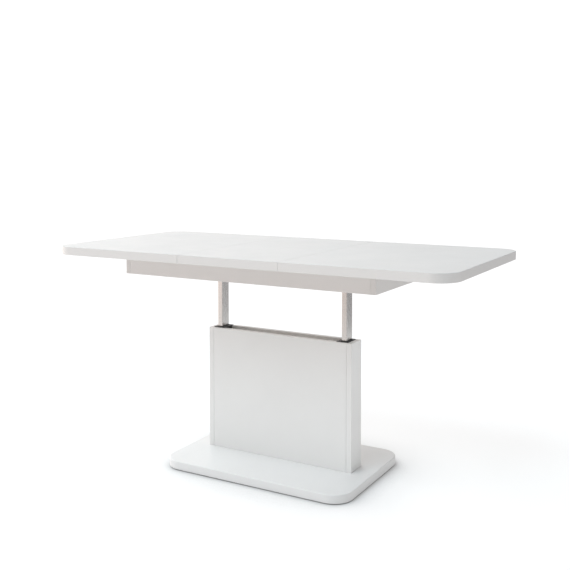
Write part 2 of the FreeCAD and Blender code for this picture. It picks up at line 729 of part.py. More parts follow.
def post_shoe(side):
    """Plastic slider plugged on the lower end of a post, running inside its guide tube."""
    x = side * POST_X
    half_x = GUIDE_WIDTH / 2 - GUIDE_WALL - SLIDING_CLEARANCE
    half_y = GUIDE_DEPTH / 2 - GUIDE_WALL - SLIDING_CLEARANCE
    shoe = block(x - half_x, x + half_x, -half_y, half_y, POST_BOTTOM - POST_SHOE_LENGTH, POST_BOTTOM)
    bore_x = POST_WIDTH / 2 - POST_WALL
    bore_y = POST_DEPTH / 2 - POST_WALL
    plug = block(x - bore_x, x + bore_x, -bore_y, bore_y, POST_BOTTOM, POST_BOTTOM + POST_SHOE_PLUG)
    low = vec(x, 0, POST_BOTTOM - POST_SHOE_LENGTH)
    bore = rod(CYLINDER_RADIUS + SHOE_BORE_MARGIN, low, POST_SHOE_LENGTH + POST_SHOE_PLUG)
    return cut(fuse([shoe, plug]), [bore])


def flange_bolts():
    """Hexagon bolts up through the post flanges and the channel webs, with their nuts."""
    pieces = []
    for side in (-1, 1):
        for dx, dy in FLANGE_BOLT_PLACES:
            x = side * POST_X + dx
            head_start = vec(x, dy, PANEL_BOTTOM - BOLT_HEAD_HEIGHT)
            head = hexagon(NUT_HALF_WIDTH, head_start, BOLT_HEAD_HEIGHT)
            length = WEB_TOP + BOLT_END - PANEL_BOTTOM
            shank = rod(FLANGE_BOLT_RADIUS, vec(x, dy, PANEL_BOTTOM), length)
            nut = hexagon(NUT_HALF_WIDTH, vec(x, dy, WEB_TOP), NUT_HEIGHT)
            pieces.append(fuse([head, shank, nut]))
    return pieces


def hexagon(inner_radius, low, height):
    """Hexagonal prism given by half its width across flats."""
    outer = inner_radius / math.cos(math.pi / 6)
    points = []
    for index in range(6):
        angle = index * math.pi / 3
        points.append(low + vec(outer * math.cos(angle), outer * math.sin(angle), 0))
    return prism(points, vec(0, 0, height))


def gas_cylinder(side):
    """Pressure tube of a lockable gas spring, on a stud screwed into the foot plate."""
    x = side * POST_X
    height = CYLINDER_TOP - CYLINDER_BOTTOM
    tube = rod(CYLINDER_RADIUS, vec(x, 0, CYLINDER_BOTTOM), height)
    top_edge = level_edges(tube, CYLINDER_TOP, lambda p: True)
    tube = tube.makeFillet(CYLINDER_EDGE_RADIUS, top_edge)
    stud = rod(STUD_RADIUS, vec(x, 0, BASE_TOP), CYLINDER_BOTTOM - BASE_TOP)
    bore_bottom = CYLINDER_BOTTOM + CYLINDER_FLOOR
    bore_top = CYLINDER_TOP - CYLINDER_HEAD
    bore = rod(CYLINDER_BORE_RADIUS, vec(x, 0, bore_bottom), bore_top - bore_bottom)
    seal = rod(ROD_RADIUS + RUNNING_CLEARANCE, vec(x, 0, bore_bottom), CYLINDER_TOP - bore_bottom)
    return cut(fuse([tube, stud]), [bore, seal])


def gas_rod(side):
    """Piston rod, threaded through the post flange and bored for its release pin."""
    x = side * POST_X
    stem = rod(ROD_RADIUS, vec(x, 0, ROD_BOTTOM), ROD_TOP - ROD_BOTTOM)
    piston = rod(CYLINDER_BORE_RADIUS - RUNNING_CLEARANCE, vec(x, 0, ROD_BOTTOM), PISTON_LENGTH)
    bore_bottom = PIN_BOTTOM - PIN_BORE_END
    bore = rod(PIN_RADIUS + RUNNING_CLEARANCE, vec(x, 0, bore_bottom), ROD_TOP - bore_bottom)
    return cut(fuse([stem, piston]), [bore])


def rod_nuts():
    """Pairs of nuts that clamp each piston rod to its post flange."""
    nuts = []
    for side in (-1, 1):
        for low in (PANEL_BOTTOM - NUT_HEIGHT, WEB_TOP):
            nut = hexagon(NUT_HALF_WIDTH, vec(side * POST_X, 0, low), NUT_HEIGHT)
            bore = rod(ROD_RADIUS + SCREW_CLEARANCE, vec(side * POST_X, 0, low), NUT_HEIGHT)
            nuts.append(cut(nut, [bore]))
    return nuts


def release_pin(side):
    """Thin pin inside a piston rod; pressing it lets the gas spring move."""
    return rod(PIN_RADIUS, vec(side * POST_X, 0, PIN_BOTTOM), PIN_TOP - PIN_BOTTOM)


# ---------------------------------------------------------------- release lever

def release_shaft():
    """Cross shaft through both channels."""
    start = -POST_X - CHANNEL_WIDTH / 2 - SHAFT_OVERHANG
    return rod(SHAFT_RADIUS, vec(start, SHAFT_Y, SHAFT_Z), SHAFT_END_X - start, ALONG_X)


def release_fingers():
    """Collars pinned on the shaft, each with a finger over a release pin."""
    fingers = []
    for side in (-1, 1):
        x = side * POST_X
        low = x - COLLAR_WIDTH / 2
        collar = rod(COLLAR_RADIUS, vec(low, SHAFT_Y, SHAFT_Z), COLLAR_WIDTH, ALONG_X)
        tip = PIN_TOP + FINGER_GAP
        arm = block(low, low + COLLAR_WIDTH, FINGER_END_Y, SHAFT_Y, tip, tip + FINGER_HEIGHT)
        bore = rod(SHAFT_RADIUS, vec(low, SHAFT_Y, SHAFT_Z), COLLAR_WIDTH, ALONG_X)
        fingers.append(cut(fuse([collar, arm]), [bore]))
    return fingers


def shaft_bushes():
    """Flanged plastic bushes in the channel walls."""
    bushes = []
    for side in (-1, 1):
        for hand in (-1, 1):
            wall = side * POST_X + hand * (CHANNEL_WIDTH / 2 - CHANNEL_WALL)
            direction = ALONG_X * hand
            start = vec(wall, SHAFT_Y, SHAFT_Z)
            sleeve = rod(COLLAR_RADIUS, start, CHANNEL_WALL, direction)
            flange_start = start - direction * BUSH_FLANGE
            flange = rod(COLLAR_RADIUS + BUSH_FLANGE, flange_start, BUSH_FLANGE, direction)
            length = BUSH_FLANGE + CHANNEL_WALL
            bore = rod(SHAFT_RADIUS + RUNNING_CLEARANCE, flange_start, length, direction)
            bushes.append(cut(fuse([sleeve, flange]), [bore]))
    return bushes


def lever_arm():
    """Flat steel arm: an eye on the shaft, a drop through the panel and a long reach back."""
    x = LEVER_X
    eye = rod(EYE_RADIUS, vec(x, SHAFT_Y, SHAFT_Z), LEVER_THICKNESS, ALONG_X)
    outline = [
        vec(x, SHAFT_Y - EYE_RADIUS, SHAFT_Z),
        vec(x, SHAFT_Y + EYE_RADIUS, SHAFT_Z),
        vec(x, SHAFT_Y + 12, SHAFT_Z - 30),
        vec(x, GRIP_Y + 4, GRIP_Z + 5),
        vec(x, GRIP_Y + 4, GRIP_Z - 5),
        vec(x, SHAFT_Y - 6, SHAFT_Z - 46),
    ]
    plate = prism(outline, vec(LEVER_THICKNESS, 0, 0))
    bore = rod(SHAFT_RADIUS, vec(x, SHAFT_Y, SHAFT_Z), LEVER_THICKNESS, ALONG_X)
    return cut(fuse([eye, plate]), [bore])


def lever_grip():
    """Rounded bar across the end of the arm."""
    start = LEVER_X + LEVER_THICKNESS / 2 - GRIP_LENGTH / 2
    grip = rod(GRIP_RADIUS, vec(start, GRIP_Y, GRIP_Z), GRIP_LENGTH, ALONG_X)
    grip = grip.makeFillet(GRIP_END_RADIUS, [edge for edge in grip.Edges if edge.Closed])
    return grip.cut(lever_arm())


def return_spring():
    """Coil of the torsion spring around the shaft, beside the lever arm."""
    start_x = LEVER_X + LEVER_THICKNESS + SPRING_LEVER_GAP
    radius = SHAFT_RADIUS + SPRING_SHAFT_GAP
    pitch = 2 * SPRING_WIRE_RADIUS + SPRING_TURN_GAP
    coil = Part.makeHelix(pitch, pitch * SPRING_TURNS, radius)
    profile = Part.Wire(Part.Circle(vec(radius, 0, 0), ALONG_Y, SPRING_WIRE_RADIUS).toShape())
    wire = Part.Wire(coil.Edges).makePipeShell([profile], True, True)
    wire.rotate(vec(0, 0, 0), ALONG_Y, 90)
    wire.translate(vec(start_x, SHAFT_Y, SHAFT_Z))
    return wire


# ---------------------------------------------------------------- column and base

def column_side_panel():
    """Right side board, running the full depth of the column."""
    half = COLUMN_DEPTH / 2
    panel = block(COLUMN_INNER_X, COLUMN_LENGTH / 2, -half, half, BASE_TOP, COLUMN_TOP)
    return soften(panel, BOARD_EDGE_RADIUS)


def column_front_panel():
    """Front board, set between the two side boards with a fine groove at each end."""
    edge = COLUMN_INNER_X - COLUMN_GROOVE
    panel = block(-edge, edge, -COLUMN_DEPTH / 2, -COLUMN_INNER_Y, BASE_TOP, COLUMN_TOP)
    return soften(panel, BOARD_EDGE_RADIUS)


def column_battens():
    """Wooden spacers that tie the front and back panels together."""
    edge = POST_X - GUIDE_WIDTH / 2 - 1
    battens = []
    for low in (LOWER_BATTEN_BOTTOM, UPPER_BATTEN_BOTTOM):
        battens.append(block(-edge, edge, -COLUMN_INNER_Y, COLUMN_INNER_Y, low, low + BATTEN_HEIGHT))
    return battens


def anchor_places():
    """Anchor bolt positions: two pairs on each side of the middle."""
    xs = [side * x for side in (-1, 1) for x in ANCHOR_BOLT_X]
    return screw_places(xs, (-ANCHOR_BOLT_Y, ANCHOR_BOLT_Y))


def guide_frame():
    """Foot plate with the two outer guide tubes welded on it."""
    edge = COLUMN_INNER_X - COLUMN_GROOVE
    shape = [block(-edge, edge, -COLUMN_INNER_Y, COLUMN_INNER_Y, BASE_TOP, FOOT_PLATE_TOP)]
    tools = []
    half_x = GUIDE_WIDTH / 2
    half_y = GUIDE_DEPTH / 2
    inner_x = half_x - GUIDE_WALL
    inner_y = half_y - GUIDE_WALL
    for side in (-1, 1):
        x = side * POST_X
        tube = block(x - half_x, x + half_x, -half_y, half_y, FOOT_PLATE_TOP, GUIDE_TOP)
        bore = block(x - inner_x, x + inner_x, -inner_y, inner_y, FOOT_PLATE_TOP, GUIDE_TOP)
        shape.append(tube.cut(bore))
        tools.append(rod(STUD_RADIUS + SCREW_CLEARANCE, vec(x, 0, BASE_TOP), FOOT_PLATE_THICKNESS))
    bolt_bore = ANCHOR_BOLT_RADIUS + SCREW_CLEARANCE
    for x, y in anchor_places():
        tools.append(rod(bolt_bore, vec(x, y, BASE_TOP), FOOT_PLATE_THICKNESS))
    return cut(fuse(shape), tools)


def guide_cap(side):
    """Black bush on the column's rim: a thin flange over the boards and a skirt in the guide tube."""
    inner = side * CAP_INNER_X
    outer = side * CAP_OUTER_X
    x = side * POST_X
    flange = block(inner, outer, -CAP_REACH_Y, CAP_REACH_Y, COLUMN_TOP, COLUMN_TOP + CAP_PROUD)
    rim = level_edges(flange, COLUMN_TOP + CAP_PROUD, lambda p: True)
    flange = flange.makeFillet(CAP_EDGE_RADIUS, rim)
    body_inner = inner + side * CAP_SKIRT_INSET
    body_outer = side * (COLUMN_INNER_X - COLUMN_GROOVE)
    body = block(body_inner, body_outer, -COLUMN_INNER_Y, COLUMN_INNER_Y, GUIDE_TOP, COLUMN_TOP)
    hole_x = POST_WIDTH / 2 + SLIDING_CLEARANCE
    hole_y = POST_DEPTH / 2 + SLIDING_CLEARANCE
    hole = block(x - hole_x, x + hole_x, -hole_y, hole_y, GUIDE_TOP, COLUMN_TOP + CAP_PROUD)
    hole = hole.makeFillet(POST_CORNER_RADIUS, vertical_edges(hole, lambda p: True))
    return cut(fuse([flange, body]), [hole])


def base_plate():
    """Rounded base board with a recess below for the steel ballast plate."""
    half_x = BASE_LENGTH / 2
    half_y = BASE_DEPTH / 2
    plate = block(-half_x, half_x, -half_y, half_y, GLIDE_HEIGHT, BASE_TOP)
    plate = plate.makeFillet(BASE_CORNER_RADIUS, vertical_edges(plate, lambda p: True))
    plate = plate.makeFillet(BASE_EDGE_RADIUS, level_edges(plate, BASE_TOP, lambda p: True))
    underside = level_edges(plate, GLIDE_HEIGHT, lambda p: True)
    plate = plate.makeFillet(BASE_UNDERSIDE_EDGE_RADIUS, underside)
    recess_x = BALLAST_LENGTH / 2 + BALLAST_MARGIN
    recess_y = BALLAST_DEPTH / 2 + BALLAST_MARGIN
    recess_top = GLIDE_HEIGHT + BALLAST_THICKNESS
    tools = [block(-recess_x, recess_x, -recess_y, recess_y, GLIDE_HEIGHT, recess_top)]
    bolt_bore = ANCHOR_BOLT_RADIUS + ANCHOR_BOLT_CLEARANCE
    for x, y in anchor_places():
        tools.append(rod(bolt_bore, vec(x, y, recess_top), BASE_TOP - recess_top))
    return cut(plate, tools)


def ballast_plate():
    """Steel plate under the base, counterbored for the anchor bolts."""
    half_x = BALLAST_LENGTH / 2
    half_y = BALLAST_DEPTH / 2
    top = GLIDE_HEIGHT + BALLAST_THICKNESS
    plate = block(-half_x, half_x, -half_y, half_y, GLIDE_HEIGHT, top)
    tools = []
    bolt_bore = ANCHOR_BOLT_RADIUS + ANCHOR_BOLT_CLEARANCE
    for x, y in anchor_places():
        low = vec(x, y, GLIDE_HEIGHT)
        tools.append(rod(bolt_bore, low, BALLAST_THICKNESS))
        tools.append(rod(COUNTERBORE_RADIUS, low, COUNTERBORE_DEPTH))
    return cut(plate, tools)


def anchor_bolts():
    """Low-head socket bolts from below the ballast plate up into the foot plate."""
    bolts = []
    head_bottom = GLIDE_HEIGHT + ANCHOR_HEAD_RISE
    head_top = head_bottom + ANCHOR_HEAD_HEIGHT
    shank_top = FOOT_PLATE_TOP + ANCHOR_BOLT_END
    for x, y in anchor_places():
        head_start = vec(x, y, head_bottom)
        head = rod(ANCHOR_HEAD_RADIUS, head_start, ANCHOR_HEAD_HEIGHT)
        shank = rod(ANCHOR_BOLT_RADIUS, vec(x, y, head_top), shank_top - head_top)
        socket = hexagon(ANCHOR_SOCKET_HALF_WIDTH, head_start, ANCHOR_SOCKET_DEPTH)
        bolts.append(cut(fuse([head, shank]), [socket]))
    return bolts


def glides():
    """Six round glides under the edge of the base."""
    pads = []
    for x in (-GLIDE_SPACING_X / 2, 0.0, GLIDE_SPACING_X / 2):
        for y in (-GLIDE_SPACING_Y / 2, GLIDE_SPACING_Y / 2):
            pad = rod(GLIDE_RADIUS, vec(x, y, 0), GLIDE_HEIGHT)
            pads.append(pad.makeFillet(GLIDE_EDGE_RADIUS, level_edges(pad, 0, lambda p: True)))
    return pads


def build_top():
    leaf = right_leaf()
    runners = {"outer": outer_lane_runner(), "inner": inner_lane_runner()}
    screws = runner_screws()
    save("right_leaf", leaf)
    save("left_leaf", turned(leaf))
    save("right_leaf_back_runner", runners["outer"])
    save("right_leaf_front_runner", runners["inner"])
    save("left_leaf_front_runner", turned(runners["outer"]))
    save("left_leaf_back_runner", turned(runners["inner"]))
    save_group("right_leaf_screws", screws)
    save_group("left_leaf_screws", [turned(screw) for screw in screws])
    save("insert_leaf", insert_leaf())
    save_group("insert_pads", insert_pads())
    save_group("insert_locators", insert_locators())


def build_apron():
    face = apron_face_board()
    end = apron_end_board()
    save("apron_front_board", with_tab_screw_holes(face, -1))
    save("apron_back_board", with_tab_screw_holes(mirrored_y(face), 1))
    save("apron_right_board", end)
    save("apron_left_board", mirrored_x(end))
    save_group("apron_corner_blocks", corner_blocks())
    save("apron_bottom_panel", bottom_panel())
    save_group("channel_tab_screws", tab_screws())
    rail = back_rail()
    pinion = back_pinion()
    save("back_rail", rail)
    save("front_rail", mirrored_y(rail))
    save("back_pinion", pinion)
    save("front_pinion", turned(pinion))
    save_group("pinion_axles", pinion_axles())
    save_group("rail_bolts", rail_bolts())


def build_lift():
    for name, side in SIDES:
        save(name + "_cross_channel", cross_channel(side))
        save(name + "_post", post(side))
        save(name + "_post_shoe", post_shoe(side))
        save(name + "_gas_cylinder", gas_cylinder(side))
        save(name + "_gas_rod", gas_rod(side))
        save(name + "_release_pin", release_pin(side))
        save(name + "_guide_cap", guide_cap(side))
    save_group("flange_bolts", flange_bolts())
    save_group("gas_rod_nuts", rod_nuts())


def build_release():
    save("release_shaft", release_shaft())
    save_group("release_fingers", release_fingers())
    save_group("shaft_bushes", shaft_bushes())
    save("lever_arm", lever_arm())
    save("lever_grip", lever_grip())
    save("lever_return_spring", return_spring())


def build_column_and_base():
    side_panel = column_side_panel()
    front_panel = column_front_panel()
    save("column_right_panel", side_panel)
    save("column_left_panel", mirrored_x(side_panel))
    save("column_front_panel", front_panel)
    save("column_back_panel", mirrored_y(front_panel))
    save_group("column_battens", column_battens())
    save("guide_frame", guide_frame())
    save("base_plate", base_plate())
    save("ballast_plate", ballast_plate())
    save_group("anchor_bolts", anchor_bolts())
    save_group("base_glides", glides())


os.makedirs("parts", exist_ok=True)
build_top()
build_apron()
build_lift()
build_release()
build_column_and_base()
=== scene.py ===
import json
import math

import bpy
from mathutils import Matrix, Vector


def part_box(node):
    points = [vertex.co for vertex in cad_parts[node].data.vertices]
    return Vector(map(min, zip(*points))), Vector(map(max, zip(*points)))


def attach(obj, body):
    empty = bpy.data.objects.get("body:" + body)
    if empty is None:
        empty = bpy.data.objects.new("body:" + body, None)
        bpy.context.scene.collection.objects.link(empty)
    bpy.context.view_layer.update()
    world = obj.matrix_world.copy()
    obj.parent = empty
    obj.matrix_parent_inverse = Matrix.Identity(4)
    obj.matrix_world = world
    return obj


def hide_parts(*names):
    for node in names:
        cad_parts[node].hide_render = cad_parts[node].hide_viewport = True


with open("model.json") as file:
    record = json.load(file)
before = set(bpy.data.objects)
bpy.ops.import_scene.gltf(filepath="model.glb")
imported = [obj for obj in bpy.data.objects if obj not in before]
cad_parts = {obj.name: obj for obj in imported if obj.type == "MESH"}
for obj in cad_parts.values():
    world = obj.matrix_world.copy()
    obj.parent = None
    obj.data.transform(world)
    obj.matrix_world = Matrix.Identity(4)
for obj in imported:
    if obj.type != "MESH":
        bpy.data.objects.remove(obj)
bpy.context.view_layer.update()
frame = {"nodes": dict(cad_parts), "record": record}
NODES = frame["nodes"]
SLOT_OF = {row["node"]: row["material_slot"] for row in frame["record"]["subparts"]}
MM = 0.001

# --- Camera: place in metres, angles in radians, lens and sensor width in millimetres ---
CAMERA_PLACE = (1.4367, -2.4335, 1.0591)
CAMERA_YAW = 0.5087
CAMERA_PITCH = 0.0442
CAMERA_LENS = 52.4
CAMERA_SENSOR = 36.0
CAMERA_SHIFT = (-0.0314, -0.16)
CAMERA_CLIP = (0.05, 200.0)

# --- Lobes of studio light: direction, and strength in red, green and blue ---
LOBES = [
    ((-1.0, 0.0, 0.0), (2.15, 1.95, 1.87)),
    ((1.0, 0.0, 0.0), (0.78, 0.79, 0.80)),
    ((0.0, 1.0, 0.0), (0.12, 0.12, 0.13)),
]

# --- Soft suns: name, direction, angle across in degrees, strength, colour ---
SUNS = [
    ("high_front", (-0.3, -0.8, 1.1), 35.0, 1.28, (0.74, 0.91, 1.0)),
    ("high_left", (-0.9, 0.5, 0.9), 40.0, 0.40, (0.52, 0.90, 1.0)),
]
BACKDROP = (1.1, 1.1, 1.1)

# --- Floor: it glows evenly in the open, and near the object an occlusion mask dims the glow as painted shade; sizes in metres ---
FLOOR_SIZE = 4.0
FLOOR_GLOW = 0.6
# Falloff, reach and samples of the painted shade that dims the floor's glow near the object
FLOOR_PAINTED_SHADE_FALLOFF = 2.0
FLOOR_PAINTED_SHADE_REACH = 0.4
FLOOR_PAINTED_SHADE_SAMPLES = 8
FLOOR_DARK = (0.49, 0.49, 0.49)
FLOOR_LIGHT = (0.51, 0.51, 0.51)
FLOOR_ROUGHNESS = (0.7, 0.85)
FLOOR_SPECKLE_SCALE = 40.0
FLOOR_SPECULAR = 0.1

# --- Boards: light and dark cloud, arris, and the colour of an upright edge band if there is one ---
BOARDS = {
    # The arris colour is lighter than the face on the satin, top, base and apron boards, a painted
    # highlight along the edges; on the apron ends and the panel paint it is darker
    "satin_white": ((0.80, 0.79, 0.775), (0.775, 0.765, 0.75), (0.85, 0.84, 0.82), None),
    "top_white": ((0.80, 0.79, 0.775), (0.775, 0.765, 0.75), (0.82, 0.81, 0.79), (0.755, 0.73, 0.71)),
    "base_white": ((0.82, 0.81, 0.80), (0.795, 0.785, 0.775), (0.85, 0.84, 0.82), (0.74, 0.73, 0.72)),
    # The apron boards are darker, a little warmer copies of the white board; their darkness is painted
    # shade under the top's overhang, deeper on the end boards
    "apron_white": ((0.745, 0.715, 0.695), (0.725, 0.695, 0.675), (0.76, 0.74, 0.72), None),
    "apron_end_white": ((0.71, 0.68, 0.66), (0.69, 0.66, 0.64), (0.68, 0.66, 0.64), None),
    "panel_paint": ((0.70, 0.69, 0.67), (0.66, 0.65, 0.63), (0.6, 0.56, 0.5), None),
}

# --- Metals: light and dark streak, lowest and highest roughness, axis of the brushing ---
METALS = {
    "post_steel": ((0.66, 0.64, 0.62), (0.60, 0.575, 0.555), (0.22, 0.30), "z"),
    "weld_bead": ((0.50, 0.47, 0.45), (0.30, 0.27, 0.27), (0.35, 0.55), "z"),
    "zinc_steel": ((0.66, 0.67, 0.68), (0.50, 0.51, 0.53), (0.32, 0.5), "y"),
    "rail_aluminium": ((0.78, 0.79, 0.80), (0.62, 0.63, 0.65), (0.25, 0.38), "x"),
    "ground_steel": ((0.80, 0.80, 0.81), (0.68, 0.68, 0.69), (0.12, 0.22), "x"),
    "zinc_plate": ((0.70, 0.70, 0.68), (0.52, 0.52, 0.52), (0.22, 0.36), "z"),
    "spring_wire": ((0.44, 0.44, 0.45), (0.30, 0.30, 0.31), (0.2, 0.34), "x"),
}

# --- Plastics, rubber and powder coat: light and dark mottle, lowest and highest roughness ---
PLASTICS = {
    "black_plastic": ((0.028, 0.028, 0.03), (0.018, 0.018, 0.02), (0.42, 0.56)),
    "wiper_rubber": ((0.022, 0.022, 0.023), (0.014, 0.014, 0.015), (0.6, 0.75)),
    "powder_coat": ((0.075, 0.075, 0.08), (0.055, 0.055, 0.06), (0.4, 0.55)),
    "slider_plastic": ((0.80, 0.80, 0.78), (0.74, 0.74, 0.72), (0.35, 0.48)),
    "glide_plastic": ((0.10, 0.10, 0.105), (0.07, 0.07, 0.075), (0.5, 0.65)),
}

# --- Wood and felt: light and dark ---
BEECH = ((0.72, 0.56, 0.38), (0.58, 0.42, 0.26))
FELT = ((0.60, 0.59, 0.57), (0.42, 0.41, 0.40))

# --- The material that each slot of the record takes ---
SLOT_MATERIAL = {
    "white_board": "satin_white",
    "thin_panel": "panel_paint",
    "post_steel": "post_steel",
    "zinc_steel": "zinc_steel",
    "rail_aluminium": "rail_aluminium",
    "bright_steel": "ground_steel",
    "fastener_steel": "zinc_plate",
    "spring_steel": "spring_wire",
    "black_plastic": "black_plastic",
    "dark_steel": "powder_coat",
    "slider_plastic": "slider_plastic",
    "glide_plastic": "glide_plastic",
    "block_wood": "beech",
    "felt": "felt",
}

# --- The nodes that take a material of their own instead ---
NODE_MATERIAL = {
    "right_leaf": "top_white",
    "left_leaf": "top_white",
    "insert_leaf": "top_white",
    "base_plate": "base_white",
    # The apron boards take the darker copies of the white board, which paint the shade under the top's
    # overhang
    "apron_front_board": "apron_white",
    "apron_back_board": "apron_white",
    "apron_left_board": "apron_end_white",
    "apron_right_board": "apron_end_white",
}

# --- Part of a noise's 0 to 1 that a colour or a roughness is spread over ---
WIDE_SPREAD = (0.3, 0.7)
NARROW_SPREAD = (0.35, 0.65)

# --- Grain of each surface: noise scale, bump strength, bump height in metres ---
FOIL_GRAIN = (950.0, 0.10, 0.03 * MM)
METAL_GRAIN = (1600.0, 0.12, 0.02 * MM)
PLASTIC_GRAIN = (1800.0, 0.2, 0.06 * MM)
WOOD_GRAIN = (420.0, 0.35, 0.1 * MM)
FELT_GRAIN = (2400.0, 0.6, 0.15 * MM)

# --- Broad variation of each surface: noise scale, and the least and most of the darker colour ---
FOIL_CLOUD_SCALE = 3.0
FOIL_HANDLING_SCALE = 14.0
METAL_SMUDGE_SCALE = 9.0
METAL_SMUDGE = (0.0, 0.12)
PLASTIC_MOTTLE_SCALE = 60.0
WOOD_BAND_SCALE = 26.0
WOOD_PORE = (0.0, 0.35)

# --- Finish of each surface; arris widths in metres ---
FOIL_ROUGHNESS = (0.34, 0.46)
FOIL_SPECULAR = 0.42
FOIL_ARRIS = 1.2 * MM
METAL_BRUSHING = 0.02
METAL_ANISOTROPY = 0.5
PLASTIC_ARRIS = 0.6 * MM
PLASTIC_RUB_GAIN = 1.5
PLASTIC_RUB_LIFT = 0.02
WOOD_ROUGHNESS = (0.55, 0.75)
WOOD_BAND_STRETCH = (0.12, 1.0, 1.0)
WOOD_PORE_STRETCH = (0.06, 1.0, 1.0)
FELT_ROUGHNESS = (0.85, 1.0)
FELT_SHEEN = 0.3

# --- Cosines between which an arris, or an upright face, goes from not counting to counting in full ---
ARRIS_FROM_TO = (0.995, 0.90)
ARRIS_SAMPLES = 4
UPRIGHT_FROM_TO = (0.75, 0.25)

# --- Rings round the posts, in millimetres; a section is a list of (outward, up) points ---
POST_HALF = (10.0, 20.0)
POST_CORNER = 2.0
POST_CORNER_POINTS = 6
POST_STRAIGHT_STEPS = 24
FLANGE_THICKNESS = 4.0
WELD_LEG = 3.0
WELD_RIPPLE = 0.35
WELD_RIPPLE_PITCH = 2.2
WELD_BITE = 0.2
WELD_FACE = [(0.28, 0.80), (0.58, 0.58), (0.80, 0.28)]
LIP_SECTION = [(0.12, -0.1), (0.12, 1.5), (0.62, 1.5), (1.12, 0.975), (2.0, 0.375), (2.4, -0.1)]

# --- Grip, in millimetres ---
GRIP_END_RADIUS = 3.0
GRIP_HUB_HALF = 8.0
GRIP_RIB_PITCH = 3.5
GRIP_RIB_DEPTH = 0.55
GRIP_STEPS = 240
GRIP_AROUND = 48


# ---------------------------------------------------------------- node helpers

class Nodes:
    """A node tree with short calls for what the materials and the world share."""

    def __init__(self, tree):
        self.tree = tree

    def add(self, kind, **values):
        """New node, with its properties set."""
        node = self.tree.nodes.new(kind)
        for key, value in values.items():
            setattr(node, key, value)
        return node

    def link(self, source, target):
        """Connects an output to an input."""
        self.tree.links.new(source, target)

    def mix(self, factor, source, colour):
        """The source, turning into a plain colour as the factor goes to 1."""
        node = self.add("ShaderNodeMix", data_type="RGBA")
        first, second = [socket for socket in node.inputs if socket.type == "RGBA"]
        self.link(factor, node.inputs["Factor"])
        self.link(source, first)
        second.default_value = (*colour, 1.0)
        return [socket for socket in node.outputs if socket.type == "RGBA"][0]

    def lobe(self, towards, direction, colour):
        """Light of one colour that falls off as the cosine of the angle from a direction."""
        dot = self.add("ShaderNodeVectorMath", operation="DOT_PRODUCT")
        dot.inputs[1].default_value = direction
        self.link(towards, dot.inputs[0])
        lit = self.add("ShaderNodeMath", operation="MAXIMUM")
        lit.inputs[1].default_value = 0.0
        self.link(dot.outputs["Value"], lit.inputs[0])
        tinted = self.add("ShaderNodeVectorMath", operation="SCALE")
        tinted.inputs[0].default_value = colour
        self.link(lit.outputs[0], tinted.inputs["Scale"])
        return tinted.outputs[0]

    def plus(self, first, second):
        """Sum of two colours."""
        node = self.add("ShaderNodeVectorMath", operation="ADD")
        self.link(first, node.inputs[0])
        self.link(second, node.inputs[1])
        return node.outputs[0]


class Shader(Nodes):
    """A material, with its principled surface and its procedural patterns."""

    def __init__(self, name):
        self.material = bpy.data.materials.new(name)
        self.material.use_nodes = True
        super().__init__(self.material.node_tree)
        self.surface = self.tree.nodes["Principled BSDF"]
        self.place = self.add("ShaderNodeTexCoord").outputs["Object"]

    def fix(self, socket, value):
        """One value all over the surface."""
        self.surface.inputs[socket].default_value = value

    def vary(self, socket, source):
        """A value that follows a pattern."""
        self.link(source, self.surface.inputs[socket])

    def noise(self, scale, detail=3.0, roughness=0.55, stretch=None):
        """Noise from 0 to 1, drawn out along each axis whose stretch factor is below 1."""
        node = self.add("ShaderNodeTexNoise")
        node.inputs["Scale"].default_value = scale
        node.inputs["Detail"].default_value = detail
        node.inputs["Roughness"].default_value = roughness
        source = self.place
        if stretch:
            mapping = self.add("ShaderNodeMapping")
            mapping.inputs["Scale"].default_value = stretch
            self.link(self.place, mapping.inputs["Vector"])
            source = mapping.outputs["Vector"]
        self.link(source, node.inputs["Vector"])
        return node.outputs["Fac"]

    def two_tone(self, factor, dark, light, spread):
        """Colour from dark to light over a part of the factor's range."""
        node = self.add("ShaderNodeValToRGB")
        for element, position, colour in zip(node.color_ramp.elements, spread, (dark, light)):
            element.position = position
            element.color = (*colour, 1.0)
        self.link(factor, node.inputs["Fac"])
        return node.outputs["Color"]

    def ramped(self, factor, start, end, low=0.0, high=1.0):
        """Number from low to high, held beyond them, as the factor goes from start to end."""
        node = self.add("ShaderNodeMapRange")
        node.inputs["From Min"].default_value = start
        node.inputs["From Max"].default_value = end
        node.inputs["To Min"].default_value = low
        node.inputs["To Max"].default_value = high
        self.link(factor, node.inputs["Value"])
        return node.outputs["Result"]

    def between(self, noise, limits):
        """A noise brought between two limits."""
        return self.ramped(noise, *WIDE_SPREAD, *limits)

    def arrises(self, radius):
        """1 on the arrises of a solid, 0 on its faces."""
        bevel = self.add("ShaderNodeBevel", samples=ARRIS_SAMPLES)
        bevel.inputs["Radius"].default_value = radius
        geometry = self.add("ShaderNodeNewGeometry")
        dot = self.add("ShaderNodeVectorMath", operation="DOT_PRODUCT")
        self.link(bevel.outputs["Normal"], dot.inputs[0])
        self.link(geometry.outputs["Normal"], dot.inputs[1])
        return self.ramped(dot.outputs["Value"], *ARRIS_FROM_TO)

    def upright(self):
        """1 where a surface stands upright, 0 where it lies flat."""
        geometry = self.add("ShaderNodeNewGeometry")
        axes = self.add("ShaderNodeSeparateXYZ")
        self.link(geometry.outputs["Normal"], axes.inputs[0])
        flatness = self.add("ShaderNodeMath", operation="ABSOLUTE")
        self.link(axes.outputs["Z"], flatness.inputs[0])
        return self.ramped(flatness.outputs["Value"], *UPRIGHT_FROM_TO)

    def bump(self, height, strength, distance):
        """Relief of the surface."""
        node = self.add("ShaderNodeBump")
        node.inputs["Strength"].default_value = strength
        node.inputs["Distance"].default_value = distance
        self.link(height, node.inputs["Height"])
        self.vary("Normal", node.outputs["Normal"])


# ---------------------------------------------------------------- materials

